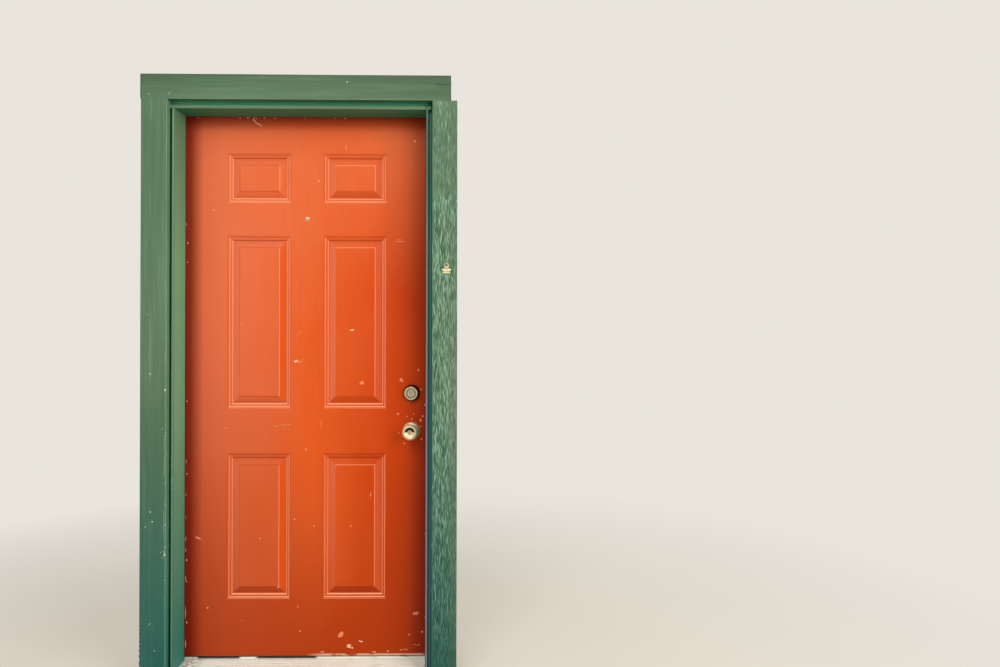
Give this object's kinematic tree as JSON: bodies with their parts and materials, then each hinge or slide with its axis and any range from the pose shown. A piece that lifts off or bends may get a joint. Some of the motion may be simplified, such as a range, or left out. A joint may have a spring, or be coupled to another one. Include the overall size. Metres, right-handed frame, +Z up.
{
  "type": "panelled front door",
  "caption": "Six-panel pressed-steel entry door hung in its rebated timber frame with casings, sill, knob latch, deadbolt and door viewer.",
  "frame": {"origin": "middle of the opening at the underside of the sill, in the plane of the wall's outer face", "axes": "+X towards the lock side, +Y into the house, +Z up"},
  "size_m": [1.1163, 0.2487, 2.1523],
  "materials": {
    "painted_door": "satin enamel over pressed steel",
    "painted_frame": "green painted softwood",
    "rough_sawn_board": "green painted rough-sawn softwood",
    "slab_timber": "bare laminated softwood",
    "sill_timber": "bare treated softwood",
    "sill_paint": "cream paint on an aluminium extrusion",
    "cap_paint": "cream painted hardwood",
    "foam": "rigid polyurethane foam",
    "seal_foam": "brown foam seal with a smooth vinyl cover",
    "sweep_vinyl": "dark flexible vinyl",
    "hinge_steel": "satin plated steel",
    "screw_steel": "zinc plated steel",
    "lock_brass": "worn antique brass plate",
    "lock_nickel": "dull nickel plate",
    "lock_steel": "plain plated steel",
    "viewer_brass": "dull brass",
    "viewer_glass": "clear lens",
    "clip_brass": "tarnished brass plate"
  },
  "bodies": {
    "frame": {"hinge_jamb": "painted_frame", "strike_jamb": "painted_frame", "head_jamb": "painted_frame", "hinge_side_casing": "painted_frame", "strike_side_casing": "rough_sawn_board", "head_casing": "painted_frame", "casing_nails": "screw_steel", "sill_base": "sill_timber", "sill_deck": "sill_paint", "threshold_cap": "cap_paint", "hinge_side_seal": "seal_foam", "strike_side_seal": "seal_foam", "head_seal": "seal_foam", "hinge_pins": "hinge_steel", "frame_screws": "screw_steel", "latch_strike": "lock_steel", "deadbolt_strike": "lock_steel", "upper_frame_leaf": "hinge_steel", "middle_frame_leaf": "hinge_steel", "lower_frame_leaf": "hinge_steel", "clip_back_plate": "clip_brass", "clip_pin": "clip_brass", "clip_spring": "clip_brass", "clip_nail": "screw_steel"},
    "door": {"outer_skin": "painted_door", "inner_skin": "painted_door", "hinge_stile": "slab_timber", "lock_stile": "slab_timber", "top_rail": "slab_timber", "bottom_rail": "slab_timber", "lock_block": "slab_timber", "foam_core": "foam", "door_sweep": "sweep_vinyl", "door_screws": "screw_steel", "upper_door_leaf": "hinge_steel", "middle_door_leaf": "hinge_steel", "lower_door_leaf": "hinge_steel", "latch_case": "lock_steel", "outer_rose": "lock_brass", "inner_rose": "lock_brass", "rose_screws": "screw_steel", "deadbolt_collar": "lock_brass", "deadbolt_cylinder": "lock_nickel", "deadbolt_case": "lock_steel", "deadbolt_inner_rose": "lock_brass", "deadbolt_screws": "screw_steel", "peephole_barrel": "viewer_brass", "peephole_lens": "viewer_glass", "peephole_sleeve": "viewer_brass"},
    "knob": {"outer_knob": "lock_brass", "inner_knob": "lock_brass", "knob_spindle": "lock_steel"},
    "knob_lock": {"knob_key_plug": "lock_nickel", "turn_button": "lock_brass"},
    "latch": {"latch_bolt": "lock_steel"},
    "thumbturn": {"thumbturn": "lock_brass", "deadbolt_cam": "lock_steel"},
    "deadbolt": {"deadbolt_bolt": "lock_steel"},
    "deadbolt_plug": {"deadbolt_key_plug": "lock_nickel"},
    "clip_jaw": {"clip_front_plate": "clip_brass"}
  },
  "joints": [
    {"name": "door_swing", "type": "hinge", "parent": "frame", "child": "door", "pos_m": [-0.4585, 0.1469, 1.044], "axis": [0, 0, 1], "range_deg": [0, 120]},
    {"name": "knob_turn", "type": "hinge", "parent": "door", "child": "knob", "pos_m": [0.387, 0.11745, 0.877], "axis": [0, -1, 0], "range_deg": [0, 60], "stiffness_Nm_per_rad": 0.12, "springref_deg": 71.62},
    {"name": "latch_slide", "type": "slide", "parent": "door", "child": "latch", "axis": [1, 0, 0], "range_m": [0, 0.0127]},
    {"name": "knob_lock_turn", "type": "hinge", "parent": "knob", "child": "knob_lock", "pos_m": [0.387, 0.11745, 0.877], "axis": [0, 1, 0], "range_deg": [0, 90]},
    {"name": "thumbturn_turn", "type": "hinge", "parent": "door", "child": "thumbturn", "pos_m": [0.387, 0.11745, 1.0167], "axis": [0, 1, 0], "range_deg": [0, 90]},
    {"name": "deadbolt_slide", "type": "slide", "parent": "door", "child": "deadbolt", "axis": [1, 0, 0], "range_m": [0, 0.0254]},
    {"name": "deadbolt_key_turn", "type": "hinge", "parent": "door", "child": "deadbolt_plug", "pos_m": [0.387, 0.11745, 1.0167], "axis": [0, 1, 0], "range_deg": [0, 90]},
    {"name": "clip_squeeze", "type": "hinge", "parent": "frame", "child": "clip_jaw", "pos_m": [0.524, -0.0267, 1.4628], "axis": [-1, 0, 0], "range_deg": [0, 20], "stiffness_Nm_per_rad": 0.05, "springref_deg": -5.73}
  ],
  "couplings": [
    {"joint": "latch_slide", "follows": "knob_turn", "m_per_rad": 0.012128},
    {"joint": "deadbolt_slide", "follows": "thumbturn_turn", "m_per_rad": 0.01617}
  ]
}
